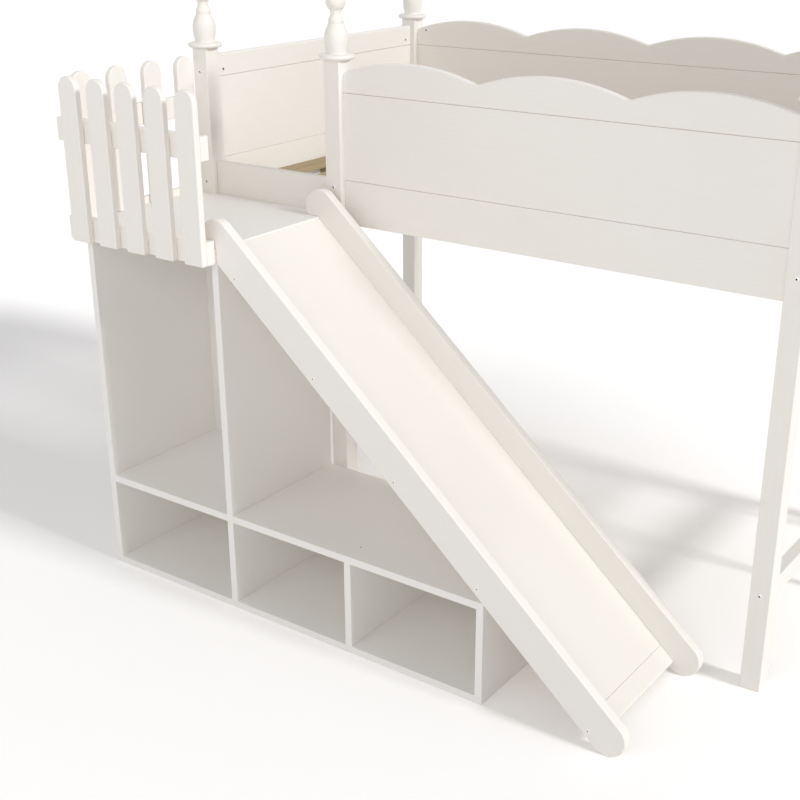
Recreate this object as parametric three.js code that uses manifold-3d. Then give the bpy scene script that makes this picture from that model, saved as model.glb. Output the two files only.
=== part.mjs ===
// A child's loft bed with a wardrobe, a low shelf unit and a slide, in millimetres with +Z up.
// The bed runs along +X. The wardrobe stands under a small fenced platform in front of its left end,
// the slide leads from the platform down over the low shelf, and the ladder is on the right end.

import * as THREE from "three";
import { mergeVertices } from "three/addons/utils/BufferGeometryUtils.js";
import Module from "manifold-3d";

const wasm = await Module();
wasm.setup();

// Bed frame
const bedLength = 1980;
const bedDepth = 1156;
const postSide = 57;
const postChamfer = 3;
const entryWidth = 458;

// Boards between the posts
const boardThickness = 20;
const boardLift = 13;
const lowBoardHeight = 132;
const grooveLift = 252;
const endPanelHeight = 320;
const cuspHeight = 308;
const crestRise = 39;
const postRise = 36;
const grooveDepth = 3;
const frontCrests = 3;
const backCrests = 4;
const crestSteps = 10;

// Cross stretcher near the floor at each end
const stretcherThickness = 34;
const stretcherHeight = 56;
const stretcherUnderside = 263;

// Turned post tops
const collarRadius = 52;
const collarHeight = 16;
const collarRounding = 7;
const vaseFootRadius = 29;
const vaseRadius = 35;
const vaseHeight = 80;
const vaseBellyRise = 40;
const beadRadius = 22;
const beadHeight = 16;
const neckRadius = 16;
const neckRise = 11;
const neckHeight = 21;
const ballRadius = 29;
const turnedSides = 20;

// Mattress slats and what carries them
const slatCount = 12;
const slatWidth = 70;
const slatThickness = 18;
const slatPostGap = 2;
const slatEndMargin = 14;
const ledgeSide = 40;
const beamWidth = 50;

// Wardrobe and low shelf unit
const unitDepth = 466;
const unitHeight = 1078;
const panelThickness = 22;
const wardrobeWidth = 478;
const cubbyHeight = 266;
const backThickness = 6;
const rodRadius = 12;
const rodDrop = 68;
const rodFlangeRadius = 21;
const rodFlangeThickness = 4;
const rodSides = 20;

// Platform over the wardrobe
const bedSetback = 18;
const deckOverhang = 6;
const battenWidth = 36;
const battenHeight = 24;
const deckThickness = 18;

// Fence round the platform
const frontRailThickness = 30;
const sideRailThickness = 18;
const fenceRailHeight = 66;
const lowRailDrop = 2;
const railPitch = 282;
const lowRailSetback = 12;
const picketWidth = 70;
const picketThickness = 20;
const picketRise = 423;
const frontPickets = 5;
const frontPicketMargin = 6;
const sidePickets = 4;
const sidePicketMargin = 3;
const domeSteps = 12;

// Slide
const slideReach = 1248;
const slideOverhang = 4;
const stringerWidth = 104;
const stringerThickness = 30;
const slideBoardLift = 10;
const slideBoardThickness = 18;
const lipLength = 58;
const lipSetback = 6;
const noseSteps = 6;
const slideEndSteps = 10;

// Ladder
const ladderWidth = 380;
const ladderRailThickness = 25;
const ladderRailDepth = 80;
const ladderPostGap = 25;
const treadThickness = 20;
const treadCount = 3;
const firstTreadTop = 318;
const treadRise = 262;

// Clearance where turned or slanted pieces meet their neighbours
const pieceGap = 0.3;

// Heights that several pieces share, all counted up from the unit that the bed stands over
const boardUnderside = unitHeight + boardLift;
const lowBoardTop = boardUnderside + lowBoardHeight;
const cuspTop = lowBoardTop + cuspHeight;
const postHeight = cuspTop + postRise;
const endPanelTop = lowBoardTop + endPanelHeight;
const ledgeTop = boardUnderside + ledgeSide;
const shelfTop = panelThickness + cubbyHeight + panelThickness;
const battenTop = unitHeight + battenHeight;
const deckTop = battenTop + deckThickness;
const stretcherTop = stretcherUnderside + stretcherHeight;

// Plan of the bed: the front of the unit is at y = 0 and its left side at x = 0
const bedFront = unitDepth + bedSetback;
const bedBack = bedFront + bedDepth;
const recess = (postSide - boardThickness) / 2;
const postRows = { front: bedFront, back: bedBack - postSide };
const postColumns = { left: 0, entry: postSide + entryWidth, right: bedLength - postSide };
const frontBoard = [bedFront + recess, bedFront + recess + boardThickness];
const backBoard = [bedBack - recess - boardThickness, bedBack - recess];
const leftBoard = [recess, recess + boardThickness];
const rightBoard = [bedLength - recess - boardThickness, bedLength - recess];
const stretcherRecess = (postSide - stretcherThickness) / 2;
const leftStretcher = [stretcherRecess, stretcherRecess + stretcherThickness];
const rightStretcher = [postColumns.right + leftStretcher[0], postColumns.right + leftStretcher[1]];
const betweenPostsX = [postSide, postColumns.right];
const betweenPostsY = [bedFront + postSide, postRows.back];
const guardSpan = [postColumns.entry + postSide, postColumns.right];
const entrySpan = [postSide, postColumns.entry];

// Plan of the unit
const dividerFace = panelThickness + wardrobeWidth;
const unitEdge = dividerFace + panelThickness;

// Slope of the slide: its lower edge leaves the wardrobe's top corner and its end rests on the floor
const slideEndRadius = stringerWidth / 2;
const slideDrop = unitHeight - slideEndRadius;
const slideTilt = Math.atan2(slideDrop, slideReach);
const slideAngle = slideTilt + Math.asin(slideEndRadius / Math.hypot(slideReach, slideDrop));
const slideLength = slideReach * Math.cos(slideAngle) + slideDrop * Math.sin(slideAngle);
const shelfEnd = unitEdge + (unitHeight - shelfTop - pieceGap) / Math.tan(slideAngle);

// Ladder rails in the right end's opening
const farRail = [postRows.back - ladderPostGap - ladderRailThickness, postRows.back - ladderPostGap];
const nearRail = [farRail[0] - ladderWidth - ladderRailThickness, farRail[0] - ladderWidth];
const ladderSpan = [rightBoard[1], rightBoard[1] + ladderRailDepth];
const treadSpan = [rightStretcher[1], ladderSpan[1]];

// Finishes
const finish = (settings) => new THREE.MeshStandardMaterial(settings);
const whitePaint = () => finish({ color: 0xf1efea, roughness: 0.45, metalness: 0 });
const naturalPine = () => finish({ color: 0xd9c195, roughness: 0.6, metalness: 0 });
const polishedSteel = () => finish({ color: 0xc8cacc, roughness: 0.3, metalness: 1 });

// Adds a named mesh to a group
function addMesh(group, name, geometry, material) {
  const mesh = new THREE.Mesh(geometry, material);
  mesh.name = name;
  group.add(mesh);
  return mesh;
}

// A box geometry that fills three spans
function boxGeometry(x, y, z) {
  const geometry = new THREE.BoxGeometry(x[1] - x[0], y[1] - y[0], z[1] - z[0]);
  return geometry.translate((x[0] + x[1]) / 2, (y[0] + y[1]) / 2, (z[0] + z[1]) / 2);
}

// A rectangular board, placed by its centre
function addBoard(group, name, material, x, y, z) {
  const geometry = new THREE.BoxGeometry(x[1] - x[0], y[1] - y[0], z[1] - z[0]);
  const mesh = addMesh(group, name, geometry, material);
  mesh.position.set((x[0] + x[1]) / 2, (y[0] + y[1]) / 2, (z[0] + z[1]) / 2);
}

// The solid between two places on an axis whose cross section is an outline of [u, v] points
function outlineGeometry(outline, span) {
  const shape = new THREE.Shape(outline.map(([u, v]) => new THREE.Vector2(u, v)));
  return new THREE.ExtrudeGeometry(shape, { depth: span[1] - span[0], bevelEnabled: false });
}

// An outline in (x, z), extruded along y
function addAlongY(group, name, material, outline, span) {
  const mesh = addMesh(group, name, outlineGeometry(outline, span), material);
  mesh.rotation.x = Math.PI / 2;
  mesh.position.y = span[1];
}

// An outline in (y, z), extruded along x
function addAlongX(group, name, material, outline, span) {
  const mesh = addMesh(group, name, outlineGeometry(outline, span), material);
  mesh.rotation.set(Math.PI / 2, Math.PI / 2, 0);
  mesh.position.x = span[0];
}

// Points on an arc, both ends included
function arcPoints(centre, radius, fromAngle, toAngle, steps) {
  return Array.from({ length: steps + 1 }, (_, step) => {
    const angle = fromAngle + ((toAngle - fromAngle) * step) / steps;
    return [centre[0] + radius * Math.cos(angle), centre[1] + radius * Math.sin(angle)];
  });
}

// The section of a grooved panel: its lower edges are chamfered and a V groove runs along each face
function panelSection(across, z) {
  const groove = z[0] + grooveLift;
  return [
    [across[0] + grooveDepth, z[0]],
    [across[1] - grooveDepth, z[0]],
    [across[1], z[0] + grooveDepth],
    [across[1], groove - grooveDepth],
    [across[1] - grooveDepth, groove],
    [across[1], groove + grooveDepth],
    [across[1], z[1]],
    [across[0], z[1]],
    [across[0], groove + grooveDepth],
    [across[0] + grooveDepth, groove],
    [across[0], groove - grooveDepth],
    [across[0], z[0] + grooveDepth],
  ];
}

// The outline of a guard panel, whose top is a row of arches that meet in cusps
function scallopedOutline(span, underside, crests) {
  const half = (span[1] - span[0]) / crests / 2;
  const radius = (half * half + crestRise * crestRise) / (crestRise + crestRise);
  const reach = Math.asin(half / radius);
  const outline = [[span[0], underside], [span[1], underside]];
  for (let crest = crests - 1; crest >= 0; crest -= 1) {
    const centre = [span[0] + half + crest * (half + half), cuspTop + crestRise - radius];
    const arch = arcPoints(centre, radius, Math.PI / 2 - reach, Math.PI / 2 + reach, crestSteps);
    outline.push([centre[0] + half, cuspTop], ...arch.slice(1, -1));
  }
  outline.push([span[0], cuspTop]);
  return outline;
}

// The outline of an upright with a half-round top
function domedOutline(across, underside, top) {
  const radius = (across[1] - across[0]) / 2;
  const dome = arcPoints([across[0] + radius, top - radius], radius, 0, Math.PI, domeSteps);
  return [[across[0], underside], [across[1], underside], ...dome];
}

// A turned solid about +Z from [radius, height] points that start and end on the axis
function turnedGeometry(profile, sides) {
  const points = profile.map(([radius, height]) => new THREE.Vector2(radius, height));
  return new THREE.LatheGeometry(points, sides).rotateX(Math.PI / 2);
}

// The solid of a closed geometry, ready to be joined or cut
function solidOf(geometry) {
  const bare = geometry.clone();
  bare.deleteAttribute("normal");
  bare.deleteAttribute("uv");
  const merged = mergeVertices(bare);
  const vertProperties = new Float32Array(merged.getAttribute("position").array);
  const triVerts = new Uint32Array(merged.getIndex().array);
  return new wasm.Manifold(new wasm.Mesh({ numProp: 3, vertProperties, triVerts }));
}

// The geometry of a joined or cut solid
function geometryOf(solid) {
  const mesh = solid.getMesh();
  const geometry = new THREE.BufferGeometry();
  geometry.setAttribute("position", new THREE.BufferAttribute(mesh.vertProperties, 3));
  geometry.setIndex(new THREE.BufferAttribute(mesh.triVerts, 1));
  geometry.computeVertexNormals();
  return geometry;
}

// Square posts with chamfered edges, one of them at the entry
const postPlaces = {
  front_left: [postColumns.left, postRows.front],
  front_entry: [postColumns.entry, postRows.front],
  front_right: [postColumns.right, postRows.front],
  back_left: [postColumns.left, postRows.back],
  back_right: [postColumns.right, postRows.back],
};

function buildPosts() {
  const group = new THREE.Group();
  const straight = postSide - postChamfer;
  const section = [
    [postChamfer, 0],
    [straight, 0],
    [postSide, postChamfer],
    [postSide, straight],
    [straight, postSide],
    [postChamfer, postSide],
    [0, straight],
    [0, postChamfer],
  ];
  for (const [place, [x, y]] of Object.entries(postPlaces)) {
    const post = addMesh(group, `post_${place}`, outlineGeometry(section, [0, postHeight]), whitePaint());
    post.position.set(x, y, 0);
  }
  return group;
}

// The profile of a turned top: a wide rounded collar, a vase, a bead, a waisted neck and a ball
function turnedTopProfile() {
  const vaseFoot = collarHeight;
  const vaseEnd = vaseFoot + vaseHeight;
  const beadEnd = vaseEnd + beadHeight;
  const neckEnd = beadEnd + neckHeight;
  const ballMeet = Math.sqrt(ballRadius * ballRadius - neckRadius * neckRadius);
  const ballCentre = neckEnd + ballMeet;
  const rimCentre = [collarRadius - collarRounding, collarHeight - collarRounding];
  const collar = arcPoints(rimCentre, collarRounding, 0, Math.PI / 2, noseSteps);
  const vase = new THREE.SplineCurve([
    new THREE.Vector2(vaseFootRadius, vaseFoot),
    new THREE.Vector2(vaseRadius, vaseFoot + vaseBellyRise),
    new THREE.Vector2(beadRadius, vaseEnd),
  ]).getPoints(noseSteps);
  const neckAngle = -Math.acos(neckRadius / ballRadius);
  const ball = arcPoints([0, ballCentre], ballRadius, neckAngle, Math.PI / 2, noseSteps);
  return [
    [0, 0],
    [collarRadius, 0],
    ...collar,
    ...vase.map((point) => [point.x, point.y]),
    [beadRadius, beadEnd],
    [neckRadius, beadEnd + neckRise],
    ...ball.slice(0, -1),
    [0, ballCentre + ballRadius],
  ];
}

function buildPostTops() {
  const group = new THREE.Group();
  for (const [place, [x, y]] of Object.entries(postPlaces)) {
    const geometry = turnedGeometry(turnedTopProfile(), turnedSides);
    const top = addMesh(group, `post_top_${place}`, geometry, whitePaint());
    top.position.set(x + postSide / 2, y + postSide / 2, postHeight);
  }
  return group;
}

// Guards along the front and back: a low board and a grooved panel with a scalloped top
function addGuard(group, name, span, across, crests) {
  addBoard(group, `${name}_low_board`, whitePaint(), span, across, [boardUnderside, lowBoardTop]);
  const crestTop = cuspTop + crestRise;
  const grooved = outlineGeometry(panelSection(across, [lowBoardTop, crestTop]), span);
  grooved.rotateY(Math.PI / 2).rotateX(Math.PI / 2).translate(span[0], 0, 0);
  const scalloped = outlineGeometry(scallopedOutline(span, lowBoardTop, crests), across);
  scalloped.rotateX(Math.PI / 2).translate(0, across[1], 0);
  const panel = solidOf(grooved).intersect(solidOf(scalloped));
  addMesh(group, `${name}_panel`, geometryOf(panel), whitePaint());
}

// Ends of the bed, where the upper panel of the right end stops at the ladder
function addEnd(group, name, across, panelSpan, stretcher) {
  const boardHeights = [boardUnderside, lowBoardTop];
  const stretcherHeights = [stretcherUnderside, stretcherTop];
  addBoard(group, `${name}_low_board`, whitePaint(), across, betweenPostsY, boardHeights);
  const section = panelSection(across, [lowBoardTop, endPanelTop]);
  addAlongY(group, `${name}_panel`, whitePaint(), section, panelSpan);
  addBoard(group, `${name}_stretcher`, whitePaint(), stretcher, betweenPostsY, stretcherHeights);
}

function buildBoards() {
  const group = new THREE.Group();
  addGuard(group, "front_guard", guardSpan, frontBoard, frontCrests);
  addGuard(group, "back_guard", betweenPostsX, backBoard, backCrests);
  addEnd(group, "left_end", leftBoard, betweenPostsY, leftStretcher);
  addEnd(group, "right_end", rightBoard, [betweenPostsY[0], nearRail[1]], rightStretcher);
  addBoard(group, "entry_board", whitePaint(), entrySpan, frontBoard, [boardUnderside, lowBoardTop]);
  return group;
}

// Ledges inside the low boards, a beam down the middle and the slats across them
function buildSlatBase() {
  const group = new THREE.Group();
  const ledgeHeights = [boardUnderside, ledgeTop];
  const frontLedge = [frontBoard[1], frontBoard[1] + ledgeSide];
  const backLedge = [backBoard[0] - ledgeSide, backBoard[0]];
  addBoard(group, "ledge_entry", whitePaint(), entrySpan, frontLedge, ledgeHeights);
  addBoard(group, "ledge_front", whitePaint(), guardSpan, frontLedge, ledgeHeights);
  addBoard(group, "ledge_back", whitePaint(), betweenPostsX, backLedge, ledgeHeights);
  const middle = (frontBoard[1] + backBoard[0]) / 2;
  const beam = [middle - beamWidth / 2, middle + beamWidth / 2];
  let frame = solidOf(boxGeometry([leftBoard[1], rightBoard[0]], beam, ledgeHeights));
  const firstSlat = leftBoard[1] + slatEndMargin;
  const slatPitch = (rightBoard[0] - slatEndMargin - slatWidth - firstSlat) / (slatCount - 1);
  const slatSpan = [betweenPostsY[0] + slatPostGap, betweenPostsY[1] - slatPostGap];
  for (let slat = 0; slat < slatCount; slat += 1) {
    const edge = firstSlat + slat * slatPitch;
    const board = boxGeometry([edge, edge + slatWidth], slatSpan, [ledgeTop, ledgeTop + slatThickness]);
    frame = frame.add(solidOf(board));
  }
  addMesh(group, "slat_frame", geometryOf(frame), naturalPine());
  return group;
}

// Wardrobe on the left and open cubbies along the floor, all of flat panels
function buildUnit() {
  const group = new THREE.Group();
  const depth = [0, unitDepth];
  const shelfUnderside = shelfTop - panelThickness;
  const cubby = [panelThickness, shelfUnderside];
  const rightPanel = [shelfEnd - panelThickness, shelfEnd];
  const lastDivider = (unitEdge + rightPanel[0] - panelThickness) / 2;
  const inner = [panelThickness, rightPanel[0]];
  const wardrobe = [panelThickness, dividerFace];
  const back = [unitDepth - backThickness, unitDepth];
  addBoard(group, "wardrobe_left_panel", whitePaint(), [0, panelThickness], depth, [0, unitHeight]);
  addBoard(group, "wardrobe_divider", whitePaint(), [dividerFace, unitEdge], depth, [shelfTop, unitHeight]);
  addBoard(group, "low_shelf", whitePaint(), [panelThickness, shelfEnd], depth, [shelfUnderside, shelfTop]);
  addBoard(group, "base_board", whitePaint(), inner, depth, [0, panelThickness]);
  addBoard(group, "shelf_right_panel", whitePaint(), rightPanel, depth, [0, shelfUnderside]);
  const dividerDepth = [0, back[0]];
  addBoard(group, "cubby_divider_left", whitePaint(), [dividerFace, unitEdge], dividerDepth, cubby);
  const lastSpan = [lastDivider, lastDivider + panelThickness];
  addBoard(group, "cubby_divider_right", whitePaint(), lastSpan, dividerDepth, cubby);
  addBoard(group, "cubby_back", whitePaint(), inner, back, cubby);
  addBoard(group, "wardrobe_back", whitePaint(), wardrobe, back, [shelfTop, unitHeight]);
  return group;
}

// Hanging rod across the wardrobe, with a flange against the panel at each end
function buildRod() {
  const group = new THREE.Group();
  const profile = [
    [0, 0],
    [rodFlangeRadius, 0],
    [rodFlangeRadius, rodFlangeThickness],
    [rodRadius, rodFlangeThickness],
    [rodRadius, wardrobeWidth - rodFlangeThickness],
    [rodFlangeRadius, wardrobeWidth - rodFlangeThickness],
    [rodFlangeRadius, wardrobeWidth],
    [0, wardrobeWidth],
  ];
  const rod = addMesh(group, "hanging_rod", turnedGeometry(profile, rodSides), polishedSteel());
  rod.rotation.y = Math.PI / 2;
  rod.position.set(panelThickness, unitDepth / 2, unitHeight - rodDrop);
  return group;
}

// Platform: a frame on the wardrobe and a deck whose tongue reaches the entry board
function buildPlatform() {
  const group = new THREE.Group();
  const left = -picketThickness;
  const front = -deckOverhang;
  const corners = (inset) => [
    new THREE.Vector2(left + inset, front + inset),
    new THREE.Vector2(unitEdge - inset, front + inset),
    new THREE.Vector2(unitEdge - inset, bedFront - inset),
    new THREE.Vector2(left + inset, bedFront - inset),
  ];
  const ring = new THREE.Shape(corners(0));
  ring.holes.push(new THREE.Path(corners(battenWidth)));
  const battens = new THREE.ExtrudeGeometry(ring, { depth: battenHeight, bevelEnabled: false });
  const frame = addMesh(group, "platform_frame", battens, whitePaint());
  frame.position.z = unitHeight;
  const outline = [
    [left, front],
    [unitEdge, front],
    [unitEdge, bedFront],
    [entrySpan[1], bedFront],
    [entrySpan[1], frontBoard[0]],
    [entrySpan[0], frontBoard[0]],
    [entrySpan[0], bedFront],
    [left, bedFront],
  ];
  const slab = outlineGeometry(outline, [battenTop, deckTop]);
  const deck = addMesh(group, "platform_deck", slab, whitePaint());
  deck.position.z = battenTop;
  return group;
}

// Fence: rails along the front and the left edge of the deck, with domed pickets in front of the
// front rails and inside the side rails
function buildFence() {
  const group = new THREE.Group();
  const frontBand = [-deckOverhang - frontRailThickness, -deckOverhang];
  const sideBand = [-picketThickness - sideRailThickness, -picketThickness];
  const railDepth = [-deckOverhang, bedFront];
  const lowUnderside = unitHeight - lowRailDrop;
  const highUnderside = lowUnderside + railPitch;
  const rails = {
    low: { start: sideBand[0] + lowRailSetback, heights: [lowUnderside, lowUnderside + fenceRailHeight] },
    high: { start: sideBand[0], heights: [highUnderside, highUnderside + fenceRailHeight] },
  };
  for (const [level, { start, heights }] of Object.entries(rails)) {
    addBoard(group, `fence_front_${level}_rail`, whitePaint(), [start, unitEdge], frontBand, heights);
    addBoard(group, `fence_side_${level}_rail`, whitePaint(), sideBand, railDepth, heights);
  }
  const picketTop = deckTop + picketRise;
  const frontPitch = (unitEdge - picketWidth - frontPicketMargin) / (frontPickets - 1);
  for (let picket = 0; picket < frontPickets; picket += 1) {
    const edge = frontPicketMargin + picket * frontPitch;
    const outline = domedOutline([edge, edge + picketWidth], lowUnderside, picketTop);
    const name = `fence_front_picket_${picket + 1}`;
    addAlongY(group, name, whitePaint(), outline, [frontBand[0] - picketThickness, frontBand[0]]);
  }
  const sidePitch = (bedFront - picketWidth - sidePicketMargin) / (sidePickets - 1);
  for (let picket = 0; picket < sidePickets; picket += 1) {
    const edge = sidePicketMargin + picket * sidePitch;
    const outline = domedOutline([edge, edge + picketWidth], deckTop, picketTop);
    addAlongX(group, `fence_side_picket_${picket + 1}`, whitePaint(), outline, [sideBand[1], 0]);
  }
  return group;
}

// A place on the slide, from its distance down the lower edge and its height square to that edge
function onSlide(along, above) {
  const down = [Math.cos(slideAngle), -Math.sin(slideAngle)];
  const square = [Math.sin(slideAngle), Math.cos(slideAngle)];
  return [
    unitEdge + along * down[0] + above * square[0],
    unitHeight + along * down[1] + above * square[1],
  ];
}

// A stringer: round at the floor, and round at the top with a hook that sits on the deck
function stringerOutline() {
  const topCentre = [unitEdge, unitHeight + slideEndRadius / Math.cos(slideAngle)];
  const hookAngle = Math.PI + Math.asin((topCentre[1] - deckTop) / slideEndRadius);
  const squareAngle = Math.PI / 2 - slideAngle;
  const floorAngle = -Math.PI / 2;
  const foot = [unitEdge + slideReach, slideEndRadius];
  return [
    [unitEdge, deckTop],
    [unitEdge, unitHeight],
    ...arcPoints(foot, slideEndRadius, squareAngle - Math.PI, floorAngle, noseSteps),
    ...arcPoints(foot, slideEndRadius, floorAngle, squareAngle, slideEndSteps).slice(1),
    ...arcPoints(topCentre, slideEndRadius, squareAngle, hookAngle, slideEndSteps),
  ];
}

// Slide: two stringers, the board between them and the round-nosed lip at its foot
function buildSlide() {
  const group = new THREE.Group();
  const near = [-slideOverhang, stringerThickness - slideOverhang];
  const farFace = unitDepth + slideOverhang;
  const far = [farFace - stringerThickness, farFace];
  addAlongY(group, "slide_near_stringer", whitePaint(), stringerOutline(), near);
  addAlongY(group, "slide_far_stringer", whitePaint(), stringerOutline(), far);
  const under = slideBoardLift;
  const top = slideBoardLift + slideBoardThickness;
  const lipEnd = slideLength - lipSetback;
  const lipStart = lipEnd - lipLength;
  const boardStart = unitEdge + pieceGap;
  const drop = (above) => unitHeight + (above - pieceGap * Math.sin(slideAngle)) / Math.cos(slideAngle);
  const board = [
    [boardStart, drop(under)],
    onSlide(lipStart - pieceGap, under),
    onSlide(lipStart - pieceGap, top),
    [boardStart, drop(top)],
  ];
  const between = [near[1], far[0]];
  addAlongY(group, "slide_board", whitePaint(), board, between);
  const noseRadius = slideBoardThickness / 2;
  const noseCentre = onSlide(lipEnd - noseRadius, under + noseRadius);
  const squareAngle = Math.PI / 2 - slideAngle;
  const lip = [
    onSlide(lipStart, under),
    ...arcPoints(noseCentre, noseRadius, squareAngle - Math.PI, squareAngle, noseSteps),
    onSlide(lipStart, top),
  ];
  addAlongY(group, "slide_lip", whitePaint(), lip, between);
  return group;
}

// Ladder outside the right end: two uprights with domed tops, notched over the stretcher, and flat
// treads between them
function buildLadder() {
  const group = new THREE.Group();
  const notch = [stretcherUnderside - pieceGap, stretcherTop + pieceGap];
  const upright = [
    ...domedOutline(ladderSpan, 0, endPanelTop),
    [ladderSpan[0], notch[1]],
    [treadSpan[0] + pieceGap, notch[1]],
    [treadSpan[0] + pieceGap, notch[0]],
    [ladderSpan[0], notch[0]],
  ];
  addAlongY(group, "ladder_near_rail", whitePaint(), upright, nearRail);
  addAlongY(group, "ladder_far_rail", whitePaint(), upright, farRail);
  for (let tread = 0; tread < treadCount; tread += 1) {
    const top = firstTreadTop + tread * treadRise;
    const name = `ladder_tread_${tread + 1}`;
    addBoard(group, name, whitePaint(), treadSpan, [nearRail[1], farRail[0]], [top - treadThickness, top]);
  }
  return group;
}

// The whole bed, with its origin on the floor under the middle of its outer box
const loftBed = new THREE.Group();
loftBed.add(buildPosts(), buildPostTops(), buildBoards(), buildSlatBase());
loftBed.add(buildUnit(), buildRod(), buildPlatform(), buildFence());
loftBed.add(buildSlide(), buildLadder());
const outerBox = new THREE.Box3().setFromObject(loftBed);
const centre = outerBox.getCenter(new THREE.Vector3());
loftBed.position.set(-centre.x, -centre.y, -outerBox.min.z);

export default loftBed;
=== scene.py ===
import math

import bmesh
import bpy
from mathutils import Matrix, Vector


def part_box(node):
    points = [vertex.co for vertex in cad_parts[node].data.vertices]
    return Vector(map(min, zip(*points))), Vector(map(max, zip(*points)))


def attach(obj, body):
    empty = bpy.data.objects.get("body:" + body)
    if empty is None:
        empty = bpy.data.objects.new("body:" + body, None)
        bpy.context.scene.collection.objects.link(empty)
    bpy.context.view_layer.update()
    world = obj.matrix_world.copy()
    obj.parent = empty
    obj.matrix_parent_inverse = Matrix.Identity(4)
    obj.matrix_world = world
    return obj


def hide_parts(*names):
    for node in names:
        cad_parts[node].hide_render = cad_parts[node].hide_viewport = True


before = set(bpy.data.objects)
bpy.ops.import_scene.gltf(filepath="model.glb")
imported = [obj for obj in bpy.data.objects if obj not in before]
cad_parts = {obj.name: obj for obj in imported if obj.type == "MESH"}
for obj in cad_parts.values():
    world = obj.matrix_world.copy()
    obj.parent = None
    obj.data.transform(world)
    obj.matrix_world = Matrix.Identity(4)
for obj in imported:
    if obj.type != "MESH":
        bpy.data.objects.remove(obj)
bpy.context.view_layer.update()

# Camera: a long lens in front of the bed's right half, a little above its guards, as the photograph
# was taken. The lens axis meets the picture just below its middle, so the shift is small.
camera_place = Vector((1.9449, -3.2999, 2.0358))
camera_turn = math.radians(35.78)
camera_fall = math.radians(22.71)
camera_roll = math.radians(-0.18)
camera_data = bpy.data.cameras.new("camera")
camera_data.sensor_width = 36
camera_data.lens = 58.7
camera_data.shift_x = -0.0057
camera_data.shift_y = 0.0332
camera_data.clip_end = 200
camera = bpy.data.objects.new("camera", camera_data)
camera.matrix_world = (
    Matrix.Translation(camera_place)
    @ Matrix.Rotation(camera_turn, 4, "Z")
    @ Matrix.Rotation(math.pi / 2 - camera_fall, 4, "X")
    @ Matrix.Rotation(camera_roll, 4, "Z")
)
bpy.context.collection.objects.link(camera)
bpy.context.scene.camera = camera


# Posts: five square pine posts, planed, their long edges eased, sprayed with satin white paint.
# The rails are bolted through them, and each carries a turned top.
post_edge = 0.003


def linear(code):
    """The linear colour of an sRGB hex value."""
    channels = [int(code[start:start + 2], 16) / 255 for start in (0, 2, 4)]
    return (*[c / 12.92 if c <= 0.04045 else ((c + 0.055) / 1.055) ** 2.4 for c in channels], 1)


def add_node(material, kind, sockets=None, **settings):
    """Adds a node with its settings; a socket takes a value or another node's output."""
    node = material.node_tree.nodes.new(kind)
    for setting, value in settings.items():
        setattr(node, setting, value)
    for socket, value in (sockets or {}).items():
        if isinstance(value, bpy.types.NodeSocket):
            material.node_tree.links.new(value, node.inputs[socket])
        else:
            node.inputs[socket].default_value = value
    return node


def satin_paint_on_pine(name, grain_axis, slope=0.0):
    """Satin enamel sprayed on sanded pine: warm white, softly shiny, the grain just showing."""
    grain_length = 0.11
    grain_width = 0.0022
    grain_depth = 0.00025
    cloud_size = 0.35
    spray_size = 0.0016
    spray_depth = 0.0001
    streak_share = 0.16
    glossiest, dullest = 0.34, 0.44
    paint = bpy.data.materials.new(name)
    paint.use_nodes = True
    paint.node_tree.nodes.clear()
    place = add_node(paint, "ShaderNodeTexCoord").outputs["Object"]
    level = add_node(paint, "ShaderNodeMapping", {"Vector": place, "Rotation": (0, slope, 0)})
    stretch = [1 / grain_width] * 3
    stretch[grain_axis] = 1 / grain_length
    along = add_node(
        paint, "ShaderNodeMapping", {"Vector": level.outputs["Vector"], "Scale": stretch})
    grain = add_node(
        paint, "ShaderNodeTexNoise",
        {"Vector": along.outputs["Vector"], "Scale": 1.0, "Detail": 3.0, "Roughness": 0.55})
    clouds = add_node(
        paint, "ShaderNodeTexNoise", {"Vector": place, "Scale": 1 / cloud_size, "Detail": 2.0})
    spray = add_node(
        paint, "ShaderNodeTexNoise", {"Vector": place, "Scale": 1 / spray_size, "Detail": 1.0})
    tint = add_node(
        paint, "ShaderNodeMix",
        {"Factor": clouds.outputs["Fac"], "A": linear("F5F2ED"), "B": linear("F2EEE8")},
        data_type="RGBA")
    streak = add_node(paint, "ShaderNodeMapRange", {
        "Value": grain.outputs["Fac"], "From Min": 0.35, "From Max": 0.75,
        "To Min": 0.0, "To Max": streak_share})
    colour = add_node(
        paint, "ShaderNodeMix",
        {"Factor": streak.outputs["Result"], "A": tint.outputs["Result"], "B": linear("E0DBD2")},
        data_type="RGBA")
    sheen = add_node(paint, "ShaderNodeMapRange", {
        "Value": clouds.outputs["Fac"], "From Min": 0.3, "From Max": 0.7,
        "To Min": glossiest, "To Max": dullest})
    relief = add_node(paint, "ShaderNodeBump", {
        "Height": grain.outputs["Fac"], "Strength": 0.35, "Distance": grain_depth})
    pebble = add_node(paint, "ShaderNodeBump", {
        "Height": spray.outputs["Fac"], "Strength": 0.25, "Distance": spray_depth,
        "Normal": relief.outputs["Normal"]})
    surface = add_node(paint, "ShaderNodeBsdfPrincipled", {
        "Base Color": colour.outputs["Result"], "Roughness": sheen.outputs["Result"], "IOR": 1.5,
        "Normal": pebble.outputs["Normal"]})
    add_node(paint, "ShaderNodeOutputMaterial", {"Surface": surface.outputs["BSDF"]})
    return paint


def round_corners(solid, edge):
    """Rounds every edge of a bmesh solid that turns more than a curve's own steps do."""
    least_turn = math.radians(35)
    corners = [e for e in solid.edges if e.calc_face_angle(0) > least_turn]
    bmesh.ops.bevel(
        solid, geom=corners, offset=edge, segments=3, profile=0.5,
        affect="EDGES", clamp_overlap=True)


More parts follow.
